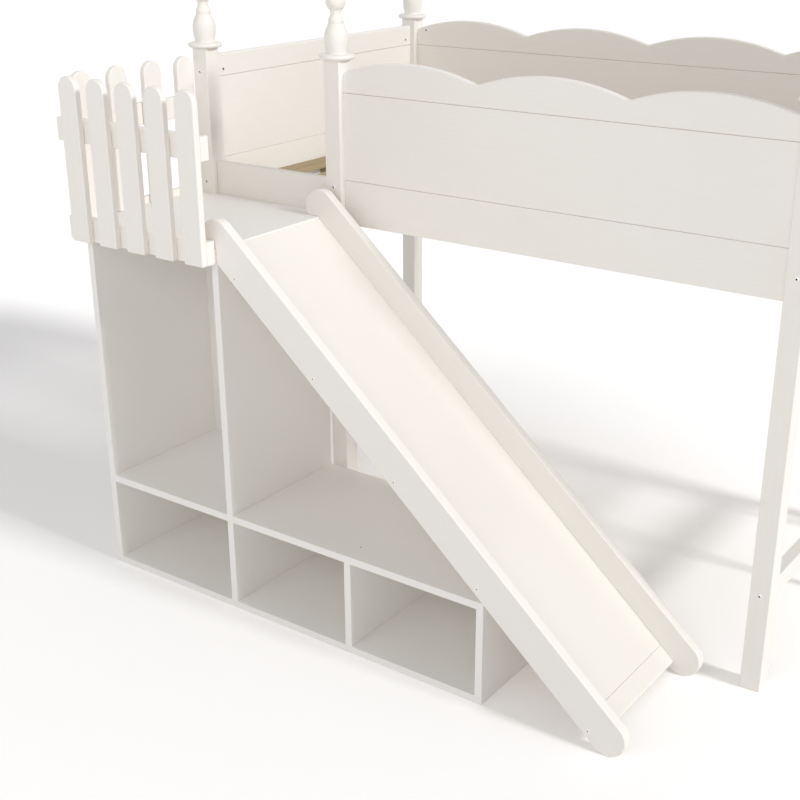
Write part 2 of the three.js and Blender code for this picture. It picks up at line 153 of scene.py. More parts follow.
def sawn(outline, axis, span, edge):
    """A solid sawn to an outline in the two axes across the given one, with rounded edges."""
    across = [other for other in range(3) if other != axis]
    solid = bmesh.new()
    rim = []
    for first, second in outline:
        corner = Vector()
        corner[across[0]], corner[across[1]], corner[axis] = first, second, span[0]
        rim.append(solid.verts.new(corner))
    face = solid.faces.new(rim)
    grown = bmesh.ops.extrude_face_region(solid, geom=[face])
    lift = Vector()
    lift[axis] = span[1] - span[0]
    far_side = [part for part in grown["geom"] if isinstance(part, bmesh.types.BMVert)]
    bmesh.ops.translate(solid, verts=far_side, vec=lift)
    bmesh.ops.recalc_face_normals(solid, faces=solid.faces)
    round_corners(solid, edge)
    return solid


def planed(low, high, edge):
    """A straight board between two corners with rounded edges."""
    outline = [(low.x, low.y), (high.x, low.y), (high.x, high.y), (low.x, high.y)]
    return sawn(outline, 2, (low.z, high.z), edge)


def fit(name, solid, material, slot, *nodes):
    """Makes a bmesh solid into a finished piece that stands for CAD nodes."""
    sharp_turn = math.radians(40)
    mesh = bpy.data.meshes.new(name)
    solid.to_mesh(mesh)
    solid.free()
    mesh.polygons.foreach_set("use_smooth", [True] * len(mesh.polygons))
    mesh.set_sharp_from_angle(angle=sharp_turn)
    mesh.materials.append(material)
    piece = bpy.data.objects.new(name, mesh)
    bpy.context.collection.objects.link(piece)
    flats = piece.modifiers.new("flats", "WEIGHTED_NORMAL")
    flats.keep_sharp = True
    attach(piece, "root")
    for node in nodes:
        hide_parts(node)
    return piece


paint_along_x = satin_paint_on_pine("satin_paint_grain_along_x", 0)
paint_along_y = satin_paint_on_pine("satin_paint_grain_along_y", 1)
paint_upright = satin_paint_on_pine("satin_paint_grain_upright", 2)
posts = ["front_left", "front_entry", "front_right", "back_left", "back_right"]
for post in posts:
    node = f"post_{post}"
    fit(f"square_{node}", planed(*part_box(node), post_edge), paint_upright, "white_paint", node)


# Turned tops: a wide collar with a rounded rim, a vase, a soft bead, a waisted neck and a ball.
# Each is turned in one piece from pine, painted with the posts and dowelled into its post's end.
turned_sides = 64


def arc(centre, radius, start, end, steps):
    """Points of an arc between two angles, both ends included."""
    angles = [start + (end - start) * step / steps for step in range(steps + 1)]
    return [(centre[0] + radius * math.cos(a), centre[1] + radius * math.sin(a)) for a in angles]


def smooth_run(stations, steps):
    """A smooth curve through (radius, height) stations, by Catmull-Rom spans."""
    ends = [stations[0], *stations, stations[-1]]
    run = []
    for before, start, end, after in zip(ends, ends[1:], ends[2:], ends[3:]):
        for step in range(steps):
            t = step / steps
            run.append(tuple(
                (2 * s + (e - b) * t + (2 * b - 5 * s + 4 * e - a) * t ** 2
                 + (3 * s - b - 3 * e + a) * t ** 3) / 2
                for b, s, e, a in zip(before, start, end, after)))
    return [*run, stations[-1]]


def skin_rings(solid, rings):
    """Joins rings of equally many vertices into a closed skin with a flat face at each end."""
    count = len(rings[0])
    for lower, upper in zip(rings, rings[1:]):
        for side in range(count):
            after = (side + 1) % count
            solid.faces.new((lower[side], lower[after], upper[after], upper[side]))
    solid.faces.new(list(reversed(rings[0])))
    solid.faces.new(rings[-1])


def turned(profile, sides):
    """A solid of revolution about Z from (radius, height) points, with a flat face at each end."""
    solid = bmesh.new()
    rings = []
    for radius, height in profile:
        ring = []
        for side in range(sides):
            angle = math.tau * side / sides
            place = (radius * math.cos(angle), radius * math.sin(angle), height)
            ring.append(solid.verts.new(place))
        rings.append(ring)
    skin_rings(solid, rings)
    return solid


collar_radius = 0.052
collar_foot_inset = 0.005
rim_rounding = 0.0065
rim_lift = 0.0068
ball_radius = 0.029
ball_foot = 0.0172
rim_start, rim_end = -1.2, 1.35
rim_steps = 10
vase_steps = 5
neck_steps = 4
ball_steps = 22
low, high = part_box("post_top_front_left")
ball_centre = high.z - low.z - ball_radius
ball_start = -math.acos(ball_foot / ball_radius)
ball_end = math.pi / 2 - 0.03
vase = [
    (0.0295, 0.0172), (0.0325, 0.0300), (0.0346, 0.0440), (0.0350, 0.0560),
    (0.0340, 0.0680), (0.0310, 0.0790), (0.0265, 0.0880), (0.0228, 0.0950),
]
bead_and_neck = [
    (0.0216, 0.0968), (0.0224, 0.1010), (0.0224, 0.1060), (0.0212, 0.1105), (0.0188, 0.1145),
    (0.0166, 0.1190), (0.0158, 0.1235), (0.0160, 0.1290),
    (ball_foot, ball_centre + ball_radius * math.sin(ball_start)),
]
turned_profile = [
    (collar_radius - collar_foot_inset, 0),
    *arc((collar_radius - rim_rounding, rim_lift), rim_rounding, rim_start, rim_end, rim_steps),
    (0.0330, 0.0152),
    (0.0300, 0.0160),
    *smooth_run(vase, vase_steps),
    *smooth_run(bead_and_neck, neck_steps),
    *arc((0, ball_centre), ball_radius, ball_start, ball_end, ball_steps)[1:],
]
for post in posts:
    low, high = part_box(f"post_top_{post}")
    top = turned(turned_profile, turned_sides)
    foot = ((low.x + high.x) / 2, (low.y + high.y) / 2, low.z)
    bmesh.ops.translate(top, verts=top.verts, vec=foot)
    fit(f"turned_top_{post}", top, paint_upright, "white_paint", f"post_top_{post}")


# Guards and ends: low boards bolted between the posts, and grooved panels over them. The panels
# along the bed are sawn to arches that meet in cusps, and the end panels are straight on top.
board_edge = 0.002
groove_depth = 0.0045
groove_half_width = 0.0012
foot_ease = 0.0012
groove_lift = 0.252
cusp_height = 0.308
panel_top_rounding = 0.005
top_rounding_steps = 4
front_crests = 3
back_crests = 4
crest_steps = 28

for node, paint in {
    "front_guard_low_board": paint_along_x,
    "back_guard_low_board": paint_along_x,
    "entry_board": paint_along_x,
    "left_end_low_board": paint_along_y,
    "right_end_low_board": paint_along_y,
    "left_end_stretcher": paint_along_y,
    "right_end_stretcher": paint_along_y,
}.items():
    fit(f"planed_{node}", planed(*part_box(node), board_edge), paint, "white_paint", node)


def panel_section(across, bottom, top):
    """The section of a grooved panel: eased edges at its foot, narrow grooves and a rounded top."""
    groove = bottom + groove_lift
    near, far = across
    rounding = panel_top_rounding
    steps = top_rounding_steps
    half = groove_half_width
    return [
        (near + groove_depth, bottom), (far - groove_depth, bottom), (far, bottom + foot_ease),
        (far, groove - half), (far - groove_depth, groove - half / 3),
        (far - groove_depth, groove + half / 3), (far, groove + half),
        *arc((far - rounding, top - rounding), rounding, 0, math.pi / 2, steps),
        *arc((near + rounding, top - rounding), rounding, math.pi / 2, math.pi, steps),
        (near, groove + half), (near + groove_depth, groove + half / 3),
        (near + groove_depth, groove - half / 3), (near, groove - half),
        (near, bottom + foot_ease),
    ]


def grooved_panel(node, axis, stations):
    """A panel whose section is swept along an axis through (place, top) stations."""
    low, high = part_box(node)
    across_axis = 1 - axis
    solid = bmesh.new()
    rings = []
    for place, top in stations:
        ring = []
        for across, height in panel_section((low[across_axis], high[across_axis]), low.z, top):
            corner = Vector((0, 0, height))
            corner[axis], corner[across_axis] = place, across
            ring.append(solid.verts.new(corner))
        rings.append(ring)
    skin_rings(solid, rings)
    bmesh.ops.recalc_face_normals(solid, faces=solid.faces)
    return solid


for guard, crests in (("front_guard_panel", front_crests), ("back_guard_panel", back_crests)):
    low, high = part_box(guard)
    half = (high.x - low.x) / crests / 2
    rise = high.z - low.z - cusp_height
    radius = (half ** 2 + rise ** 2) / (2 * rise)
    stations = []
    for step in range(crests * crest_steps + 1):
        x = low.x + 2 * half * step / crest_steps
        from_middle = abs((x - low.x) % (2 * half) - half)
        stations.append((x, high.z - radius + math.sqrt(radius ** 2 - from_middle ** 2)))
    panel = grooved_panel(guard, 0, stations)
    fit(f"arched_{guard}", panel, paint_along_x, "white_paint", guard)
for end in ("left_end_panel", "right_end_panel"):
    low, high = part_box(end)
    panel = grooved_panel(end, 1, [(low.y, high.z), (high.y, high.z)])
    fit(f"straight_{end}", panel, paint_along_y, "white_paint", end)


# Slats: bare sanded pine boards laid over ledges screwed inside the low boards, and over a beam
# under their middle. The ledges are painted with the boards that carry them.
slat_count = 12
slat_width = 0.070
slat_thickness = 0.018
slat_margin = 0.014
beam_width = 0.050


def bare_pine(name, grain_axis):
    """Sanded unfinished pine: straw-coloured early wood with darker late-wood lines along it, the
    whole tone kept below clean pine's as painted shade on the slats and their beam.
    """
    # Real pores are too fine to show, so the fibres are drawn about 1 mm wide.
    ring_width = 0.006
    ring_length = 0.6
    fibre_width = 0.0009
    fibre_length = 0.03
    fibre_depth = 0.0002
    pine = bpy.data.materials.new(name)
    pine.use_nodes = True
    pine.node_tree.nodes.clear()
    place = add_node(pine, "ShaderNodeTexCoord").outputs["Object"]
    ring_stretch = [1 / ring_width] * 3
    ring_stretch[grain_axis] = 1 / ring_length
    fibre_stretch = [1 / fibre_width] * 3
    fibre_stretch[grain_axis] = 1 / fibre_length
    ring_place = add_node(pine, "ShaderNodeMapping", {"Vector": place, "Scale": ring_stretch})
    fibre_place = add_node(pine, "ShaderNodeMapping", {"Vector": place, "Scale": fibre_stretch})
    rings = add_node(pine, "ShaderNodeTexNoise", {
        "Vector": ring_place.outputs["Vector"], "Scale": 1.0, "Detail": 4.0, "Distortion": 0.6})
    fibres = add_node(pine, "ShaderNodeTexNoise", {
        "Vector": fibre_place.outputs["Vector"], "Scale": 1.0, "Detail": 2.0})
    late = add_node(pine, "ShaderNodeMapRange", {
        "Value": rings.outputs["Fac"], "From Min": 0.46, "From Max": 0.62,
        "To Min": 0.0, "To Max": 0.8})
    # Both wood colours are darker than clean pine: painted shade for the slats, which lie in shade.
    wood = add_node(
        pine, "ShaderNodeMix",
        {"Factor": late.outputs["Result"], "A": linear("AB9977"), "B": linear("937C57")},
        data_type="RGBA")
    pores = add_node(pine, "ShaderNodeMapRange", {
        "Value": fibres.outputs["Fac"], "From Min": 0.5, "From Max": 0.8,
        "To Min": 0.0, "To Max": 0.35})
    colour = add_node(
        pine, "ShaderNodeMix",
        {"Factor": pores.outputs["Result"], "A": wood.outputs["Result"], "B": linear("816946")},
        data_type="RGBA")
    relief = add_node(pine, "ShaderNodeBump", {
        "Height": fibres.outputs["Fac"], "Strength": 0.4, "Distance": fibre_depth})
    surface = add_node(pine, "ShaderNodeBsdfPrincipled", {
        "Base Color": colour.outputs["Result"], "Roughness": 0.62, "IOR": 1.5,
        "Normal": relief.outputs["Normal"]})
    add_node(pine, "ShaderNodeOutputMaterial", {"Surface": surface.outputs["BSDF"]})
    return pine


for ledge in ("ledge_entry", "ledge_front", "ledge_back"):
    fit(f"planed_{ledge}", planed(*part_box(ledge), board_edge), paint_along_x, "white_paint", ledge)
pine_along_x = bare_pine("bare_pine_grain_along_x", 0)
pine_along_y = bare_pine("bare_pine_grain_along_y", 1)
low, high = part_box("slat_frame")
beam_middle = (low.y + high.y) / 2
slat_underside = high.z - slat_thickness
beam_low = Vector((low.x, beam_middle - beam_width / 2, low.z))
beam_high = Vector((high.x, beam_middle + beam_width / 2, slat_underside))
beam = planed(beam_low, beam_high, board_edge)
fit("middle_beam", beam, pine_along_x, "natural_pine", "slat_frame")
slat_pitch = (high.x - low.x - 2 * slat_margin - slat_width) / (slat_count - 1)
for slat in range(slat_count):
    start = low.x + slat_margin + slat * slat_pitch
    slat_low = Vector((start, low.y, slat_underside))
    slat_high = Vector((start + slat_width, high.y, high.z))
    board = planed(slat_low, slat_high, board_edge)
    fit(f"slat_{slat + 1}", board, pine_along_y, "natural_pine", "slat_frame")


# Wardrobe and shelf unit: flat fibreboard panels with crisp edges, screwed together and sprayed.
# The smooth board shows no grain, only the fine texture of the spray.
panel_edge = 0.0009


def satin_paint_on_fibreboard(name):
    """Satin enamel on fibreboard: the same warm white, smoother, with the spray's fine pebble."""
    cloud_size = 0.5
    spray_size = 0.002
    spray_depth = 0.0001
    glossiest, dullest = 0.38, 0.48
    paint = bpy.data.materials.new(name)
    paint.use_nodes = True
    paint.node_tree.nodes.clear()
    place = add_node(paint, "ShaderNodeTexCoord").outputs["Object"]
    clouds = add_node(
        paint, "ShaderNodeTexNoise", {"Vector": place, "Scale": 1 / cloud_size, "Detail": 2.0})
    spray = add_node(
        paint, "ShaderNodeTexNoise", {"Vector": place, "Scale": 1 / spray_size, "Detail": 2.0})
    tint = add_node(
        paint, "ShaderNodeMix",
        {"Factor": clouds.outputs["Fac"], "A": linear("F3F1EE"), "B": linear("F0EEEA")},
        data_type="RGBA")
    sheen = add_node(paint, "ShaderNodeMapRange", {
        "Value": clouds.outputs["Fac"], "From Min": 0.3, "From Max": 0.7,
        "To Min": glossiest, "To Max": dullest})
    pebble = add_node(paint, "ShaderNodeBump", {
        "Height": spray.outputs["Fac"], "Strength": 0.3, "Distance": spray_depth})
    surface = add_node(paint, "ShaderNodeBsdfPrincipled", {
        "Base Color": tint.outputs["Result"], "Roughness": sheen.outputs["Result"], "IOR": 1.5,
        "Normal": pebble.outputs["Normal"]})
    add_node(paint, "ShaderNodeOutputMaterial", {"Surface": surface.outputs["BSDF"]})
    return paint


fibreboard_paint = satin_paint_on_fibreboard("satin_paint_on_fibreboard")
for node in (
    "wardrobe_left_panel", "wardrobe_divider", "low_shelf", "base_board", "shelf_right_panel",
    "cubby_divider_left", "cubby_divider_right", "cubby_back", "wardrobe_back",
):
    fit(f"panel_{node}", planed(*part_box(node), panel_edge), fibreboard_paint, "white_paint", node)


# Hanging rod: a plated steel tube pushed into a cast flange at each end, each flange held to its
# panel by two countersunk screws.
rod_radius = 0.012
flange_radius = 0.021
flange_plate = 0.004
flange_rounding = 0.001
flange_cup = 0.016
cup_radius = 0.0145
cup_fillet = 0.002
cup_gap = 0.0002
rod_sides = 48


def plated_steel(name, colour, roughness):
    """Bright plated steel: mirror-like, with faint polishing lines that soften the reflections."""
    # Real polishing lines are finer still: these are drawn wider, to show from close by.
    line_width = 0.0004
    spread = 0.05
    steel = bpy.data.materials.new(name)
    steel.use_nodes = True
    steel.node_tree.nodes.clear()
    place = add_node(steel, "ShaderNodeTexCoord").outputs["Object"]
    lines = add_node(
        steel, "ShaderNodeTexNoise", {"Vector": place, "Scale": 1 / line_width, "Detail": 2.0})
    polish = add_node(steel, "ShaderNodeMapRange", {
        "Value": lines.outputs["Fac"], "From Min": 0.3, "From Max": 0.7,
        "To Min": roughness - spread, "To Max": roughness + spread})
    surface = add_node(steel, "ShaderNodeBsdfPrincipled", {
        "Base Color": linear(colour), "Metallic": 1.0, "Roughness": polish.outputs["Result"]})
    add_node(steel, "ShaderNodeOutputMaterial", {"Surface": surface.outputs["BSDF"]})
    return steel


rod_steel = plated_steel("plated_steel_tube", "DCDDDF", 0.16)
low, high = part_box("hanging_rod")
rod_centre = (low + high) / 2
tube = turned([(rod_radius, low.x), (rod_radius, high.x)], rod_sides)
flange = [
    (flange_radius, 0), (flange_radius, flange_plate - flange_rounding),
    (flange_radius - flange_rounding, flange_plate),
    (cup_radius + cup_fillet, flange_plate), (cup_radius, flange_plate + cup_fillet),
    (cup_radius, flange_cup - flange_rounding), (cup_radius - flange_rounding, flange_cup),
    (rod_radius + cup_gap, flange_cup),
]
lay_right = Matrix.Rotation(math.pi / 2, 4, "Y")
lay_left = Matrix.Rotation(-math.pi / 2, 4, "Y")
tube_seat = Matrix.Translation((0, rod_centre.y, rod_centre.z)) @ lay_right
bmesh.ops.transform(tube, matrix=tube_seat, verts=tube.verts)
fit("rod_tube", tube, rod_steel, "rod_steel", "hanging_rod")
for side, place, turn in (("left", low.x, lay_right), ("right", high.x, lay_left)):
    cup = turned(flange, rod_sides)
    seat = Matrix.Translation((place, rod_centre.y, rod_centre.z)) @ turn
    bmesh.ops.transform(cup, matrix=seat, verts=cup.verts)
    fit(f"rod_flange_{side}", cup, rod_steel, "rod_steel", "hanging_rod")


# Platform: four pine battens fixed in a frame on the wardrobe's top, and a fibreboard deck on them
# whose tongue reaches back between the posts to the entry board.
batten_width = 0.036
deck_edge = 0.002
low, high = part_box("platform_frame")
for batten, inner_low, inner_high in (
    ("front", Vector((low.x, low.y, low.z)), Vector((high.x, low.y + batten_width, high.z))),
    ("back", Vector((low.x, high.y - batten_width, low.z)), Vector((high.x, high.y, high.z))),
):
    solid = planed(inner_low, inner_high, board_edge)
    fit(f"batten_{batten}", solid, paint_along_x, "white_paint", "platform_frame")
for batten, start in (("left", low.x), ("right", high.x - batten_width)):
    inner_low = Vector((start, low.y + batten_width, low.z))
    inner_high = Vector((start + batten_width, high.y - batten_width, high.z))
    solid = planed(inner_low, inner_high, board_edge)
    fit(f"batten_{batten}", solid, paint_along_y, "white_paint", "platform_frame")
low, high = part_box("platform_deck")
deck_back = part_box("platform_frame")[1].y
tongue_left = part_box("entry_board")[0].x
tongue_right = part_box("entry_board")[1].x
deck_outline = [
    (low.x, low.y), (high.x, low.y), (high.x, deck_back), (tongue_right, deck_back),
    (tongue_right, high.y), (tongue_left, high.y), (tongue_left, deck_back), (low.x, deck_back),
]
deck = sawn(deck_outline, 2, (low.z, high.z), deck_edge)
fit("deck_board", deck, fibreboard_paint, "white_paint", "platform_deck")


# Fence: two pine rails on each side of the platform's corner, and pickets with domed tops screwed
# to them, outside the rails in front and inside them at the left.
picket_edge = 0.004
rail_edge = 0.003
dome_steps = 20


def picket(low, high, axis):
    """An upright board with a half-round top, its thickness along axis."""
    width_axis = 1 - axis
    radius = (high[width_axis] - low[width_axis]) / 2
    middle = (high[width_axis] + low[width_axis]) / 2
    dome = arc((middle, high.z - radius), radius, 0, math.pi, dome_steps)
    outline = [(low[width_axis], low.z), (high[width_axis], low.z), *dome]
    return sawn(outline, axis, (low[axis], high[axis]), picket_edge)


for node, paint in {
    "fence_front_low_rail": paint_along_x,
    "fence_front_high_rail": paint_along_x,
    "fence_side_low_rail": paint_along_y,
    "fence_side_high_rail": paint_along_y,
}.items():
    fit(f"planed_{node}", planed(*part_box(node), rail_edge), paint, "white_paint", node)
for place, count, axis in (("front", 5, 1), ("side", 4, 0)):
    for number in range(1, count + 1):
        node = f"fence_{place}_picket_{number}"
        fit(f"domed_{node}", picket(*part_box(node), axis), paint_upright, "white_paint", node)


# Slide: two pine stringers, round at both ends and hooked over the platform's edge, a smooth board
# screwed between them, and a separate round-nosed lip at its foot.
slide_reach = 1.248
stringer_width = 0.104
stringer_edge = 0.003
slide_board_lift = 0.010
slide_board_thickness = 0.018
lip_length = 0.058
lip_setback = 0.006
joint_width = 0.0004
board_round = 0.0009
end_steps = 24
nose_steps = 12

slide_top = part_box("wardrobe_divider")[1]
deck_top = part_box("platform_deck")[1].z
end_radius = stringer_width / 2
slide_drop = slide_top.z - end_radius
slide_angle = math.atan2(slide_drop, slide_reach)
slide_angle += math.asin(end_radius / math.hypot(slide_reach, slide_drop))
slide_length = slide_reach * math.cos(slide_angle) + slide_drop * math.sin(slide_angle)


def on_slide(along, above):
    """The (x, z) place at a distance down the slide's lower edge and a height square to it."""
    return (
        slide_top.x + along * math.cos(slide_angle) + above * math.sin(slide_angle),
        slide_top.z - along * math.sin(slide_angle) + above * math.cos(slide_angle),
    )


top_centre = (slide_top.x, slide_top.z + end_radius / math.cos(slide_angle))
hook_angle = math.pi + math.asin((top_centre[1] - deck_top) / end_radius)
square = math.pi / 2 - slide_angle
stringer_outline = [
    (slide_top.x, deck_top),
    (slide_top.x, slide_top.z),
    *arc((slide_top.x + slide_reach, end_radius), end_radius, square - math.pi, square, end_steps),
    *arc(top_centre, end_radius, square, hook_angle, end_steps),
]
paint_down_slide = satin_paint_on_pine("satin_paint_grain_down_slide", 0, slope=-slide_angle)
for side in ("near", "far"):
    node = f"slide_{side}_stringer"
    low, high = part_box(node)
    stringer = sawn(stringer_outline, 1, (low.y, high.y), stringer_edge)
    fit(f"hooked_{node}", stringer, paint_down_slide, "white_paint", node)


def slide_laminate(name):
    """Smooth white laminate on the slide's face: creamier and glossier than the paint round it."""
    cloud_size = 0.25
    scuff_width = 0.003
    scuff_length = 0.25
    glossiest, dullest = 0.32, 0.36
    laminate = bpy.data.materials.new(name)
    laminate.use_nodes = True
    laminate.node_tree.nodes.clear()
    place = add_node(laminate, "ShaderNodeTexCoord").outputs["Object"]
    level = add_node(
        laminate, "ShaderNodeMapping", {"Vector": place, "Rotation": (0, -slide_angle, 0)})
    scuff_place = add_node(laminate, "ShaderNodeMapping", {
        "Vector": level.outputs["Vector"],
        "Scale": (1 / scuff_length, 1 / scuff_width, 1 / scuff_width)})
    scuffs = add_node(laminate, "ShaderNodeTexNoise", {
        "Vector": scuff_place.outputs["Vector"], "Scale": 1.0, "Detail": 2.0})
    clouds = add_node(
        laminate, "ShaderNodeTexNoise", {"Vector": place, "Scale": 1 / cloud_size, "Detail": 1.0})
    tint = add_node(
        laminate, "ShaderNodeMix",
        {"Factor": clouds.outputs["Fac"], "A": linear("F0ECE6"), "B": linear("EDE9E2")},
        data_type="RGBA")
    sheen = add_node(laminate, "ShaderNodeMapRange", {
        "Value": scuffs.outputs["Fac"], "From Min": 0.3, "From Max": 0.7,
        "To Min": glossiest, "To Max": dullest})
    surface = add_node(laminate, "ShaderNodeBsdfPrincipled", {
        "Base Color": tint.outputs["Result"], "Roughness": sheen.outputs["Result"], "IOR": 1.5})
    add_node(laminate, "ShaderNodeOutputMaterial", {"Surface": surface.outputs["BSDF"]})
    return laminate


laminate = slide_laminate("slide_laminate")
low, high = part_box("slide_board")
board_top = slide_board_lift + slide_board_thickness
lip_end = slide_length - lip_setback
lip_start = lip_end - lip_length


def under_head(above):
    """The height of the slide board's upright upper end, for a height square to the slide."""
    run = low.x - slide_top.x
    return slide_top.z + (above - run * math.sin(slide_angle)) / math.cos(slide_angle)


board_outline = [
    (low.x, under_head(slide_board_lift)),
    on_slide(lip_start - joint_width, slide_board_lift),
    on_slide(lip_start - joint_width, board_top),
    (low.x, under_head(board_top)),
]
slide_board = sawn(board_outline, 1, (low.y, high.y), board_round)
fit("smooth_slide_board", slide_board, laminate, "white_paint", "slide_board")
nose = slide_board_thickness / 2
nose_centre = on_slide(lip_end - nose, slide_board_lift + nose)
lip_outline = [
    on_slide(lip_start, slide_board_lift),
    *arc(nose_centre, nose, square - math.pi, square, nose_steps),
    on_slide(lip_start, board_top),
]
lip = sawn(lip_outline, 1, (low.y, high.y), board_round)
fit("smooth_slide_lip", lip, laminate, "white_paint", "slide_lip")


# Ladder: two uprights with rounded tops bolted outside the bed's right end and notched over its
# stretcher, and flat treads housed between them.
upright_edge = 0.0035
tread_edge = 0.005
notch_gap = 0.0003
notch_low, notch_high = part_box("right_end_stretcher")
notch_face = notch_high.x + notch_gap
for side in ("near", "far"):
    node = f"ladder_{side}_rail"
    low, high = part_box(node)
    radius = (high.x - low.x) / 2
    head = arc((low.x + radius, high.z - radius), radius, 0, math.pi, dome_steps)
    notch = [
        (low.x, notch_high.z + notch_gap), (notch_face, notch_high.z + notch_gap),
        (notch_face, notch_low.z - notch_gap), (low.x, notch_low.z - notch_gap),
    ]
    outline = [(low.x, low.z), (high.x, low.z), *head, *notch]
    upright = sawn(outline, 1, (low.y, high.y), upright_edge)
    fit(f"domed_{node}", upright, paint_upright, "white_paint", node)
for number in range(1, 4):
    node = f"ladder_tread_{number}"
    fit(f"rounded_{node}", planed(*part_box(node), tread_edge), paint_along_y, "white_paint", node)


# Fasteners: bright plated furniture bolts with hexagon sockets in the posts, the cross-slotted ends
# of barrel nuts on the boards, and cross-headed screws down the slide and on the low shelf. The
# sockets and slots are drawn in dark steel: painted shade in their recesses.
fastener_sides = 48
bolt_head = 0.0058
bolt_height = 0.0022
bolt_socket = 0.0026
nut_radius = 0.005
nut_height = 0.0006
nut_slot = nut_radius * 0.6
screw_head = 0.0042
screw_height = 0.0012
screw_slot = screw_head * 0.5
guard_bolt_lift = 0.053
top_bolt_lift = 0.020
nut_setback = 0.035
end_nut_setback = 0.030
guard_nut_setback = 0.040
screw_start = 0.070
screw_pitch = 0.351
screw_count = 4
lip_screw_share = 0.6
shelf_screw_inset = 0.064
bolt_steel = plated_steel("bright_zinc_plated_steel", "E8E8E7", 0.34)
# The dark steel is painted shade for the recesses of sockets and slots, not a darker finish.
socket_shade_steel = plated_steel("painted_shade_in_the_sockets", "3A3A3B", 0.5)


def hexagon(radius, angle):
    """The reach of a hexagon of a given half width across its flats, at an angle."""
    return radius / math.cos((angle + math.pi / 6) % (math.pi / 3) - math.pi / 6)


def cross(radius, angle):
    """The reach of a cross of a given half length, whose arms are a third as wide, at an angle."""
    run, rise = abs(math.cos(angle)) + 1e-6, abs(math.sin(angle)) + 1e-6
    arm = radius / 3
    return max(min(radius / run, arm / rise), min(radius / rise, arm / run))


def driven_head(radius, height, socket_radius, socket_shape):
    """A low domed head about Z with a shaped socket, its faces in dark steel as painted shade."""
    depth = height * 0.75
    rounding = radius * 0.25
    rings = [
        (lambda angle: radius, 0),
        (lambda angle: radius, height * 0.4),
        (lambda angle: radius - rounding * 0.4, height * 0.8),
        (lambda angle: radius - rounding, height),
        (lambda angle: socket_shape(socket_radius, angle) * 1.08, height),
        (lambda angle: socket_shape(socket_radius, angle), height * 0.94),
        (lambda angle: socket_shape(socket_radius, angle) * 0.96, height - depth),
    ]
    solid = bmesh.new()
    loops = []
    for reach, level in rings:
        loop = []
        for side in range(fastener_sides):
            angle = math.tau * side / fastener_sides
            place = (reach(angle) * math.cos(angle), reach(angle) * math.sin(angle), level)
            loop.append(solid.verts.new(place))
        loops.append(loop)
    skin_rings(solid, loops)
    # Faces inside the socket take the dark steel: painted shade of the recess.
    for face in solid.faces:
        middle = face.calc_center_median()
        if middle.xy.length < socket_radius and middle.z > 0:
            face.material_index = 1
    return solid


def drive(name, solid, place, facing):
    """Sets a fastener that points along Z at a place, facing another way."""
    turn = facing.to_track_quat("Z", "X").to_matrix().to_4x4()
    bmesh.ops.transform(solid, matrix=Matrix.Translation(place) @ turn, verts=solid.verts)
    piece = fit(name, solid, bolt_steel, "rod_steel")
    piece.data.materials.append(socket_shade_steel)


to_front, to_back = Vector((0, -1, 0)), Vector((0, 1, 0))
to_left, to_right, upward = Vector((-1, 0, 0)), Vector((1, 0, 0)), Vector((0, 0, 1))
post_boxes = {post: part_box(f"post_{post}") for post in posts}
low_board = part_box("entry_board")
board_height = (low_board[0].z + low_board[1].z) / 2
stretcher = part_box("left_end_stretcher")
stretcher_height = (stretcher[0].z + stretcher[1].z) / 2
panel_joint = low_board[1].z + groove_lift
end_bolt_height = panel_joint + top_bolt_lift
guard_bolt_height = panel_joint + guard_bolt_lift


def post_bolt(post, facing, height):
    """A bolt in the middle of a post's face."""
    low, high = post_boxes[post]
    to_face = Vector((facing.x * (high.x - low.x), facing.y * (high.y - low.y), 0)) / 2
    place = (low + high) / 2 + to_face
    place.z = height
    head = driven_head(bolt_head, bolt_height, bolt_socket, hexagon)
    drive(f"bolt_{post}_{round(height * 1000)}_{'xy'[abs(facing.y) > 0.5]}", head, place, facing)


for height in (stretcher_height, board_height, end_bolt_height):
    post_bolt("front_left", to_front, height)
    post_bolt("front_right", to_front, height)
    post_bolt("back_left", to_back, height)
for height in (stretcher_height, board_height):
    post_bolt("back_right", to_back, height)
for height in (board_height, guard_bolt_height):
    post_bolt("front_right", to_right, height)
    post_bolt("back_right", to_right, height)
    post_bolt("back_left", to_left, height)
post_bolt("front_left", to_left, board_height)
post_bolt("front_entry", to_front, low_board[1].z - top_bolt_lift)

left_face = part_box("left_end_panel")[1].x
right_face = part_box("right_end_panel")[0].x
front_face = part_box("front_guard_panel")[1].y
back_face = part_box("back_guard_panel")[0].y
front_nut = post_boxes["front_left"][1].y + nut_setback
back_nut = post_boxes["back_left"][0].y - end_nut_setback
left_nut = post_boxes["back_left"][1].x + guard_nut_setback
right_nut = post_boxes["back_right"][0].x - guard_nut_setback
nut_places = [
    ((left_face, front_nut, end_bolt_height), to_right),
    ((left_face, back_nut, end_bolt_height), to_right),
    ((left_face, front_nut, board_height), to_right),
    ((left_face, back_nut, board_height), to_right),
    ((right_face, front_nut, end_bolt_height), to_left),
    ((right_face, front_nut, board_height), to_left),
    ((right_face, back_nut, board_height), to_left),
    ((left_nut, back_face, guard_bolt_height), to_front),
    ((right_nut, back_face, guard_bolt_height), to_front),
    ((left_nut, back_face, board_height), to_front),
    ((right_nut, back_face, board_height), to_front),
    ((right_nut, front_face, guard_bolt_height), to_back),
    ((right_nut, front_face, board_height), to_back),
    ((left_nut, front_face, board_height), to_back),
]
for number, (place, facing) in enumerate(nut_places, 1):
    nut = driven_head(nut_radius, nut_height, nut_slot, cross)
    drive(f"barrel_nut_{number}", nut, Vector(place), facing)

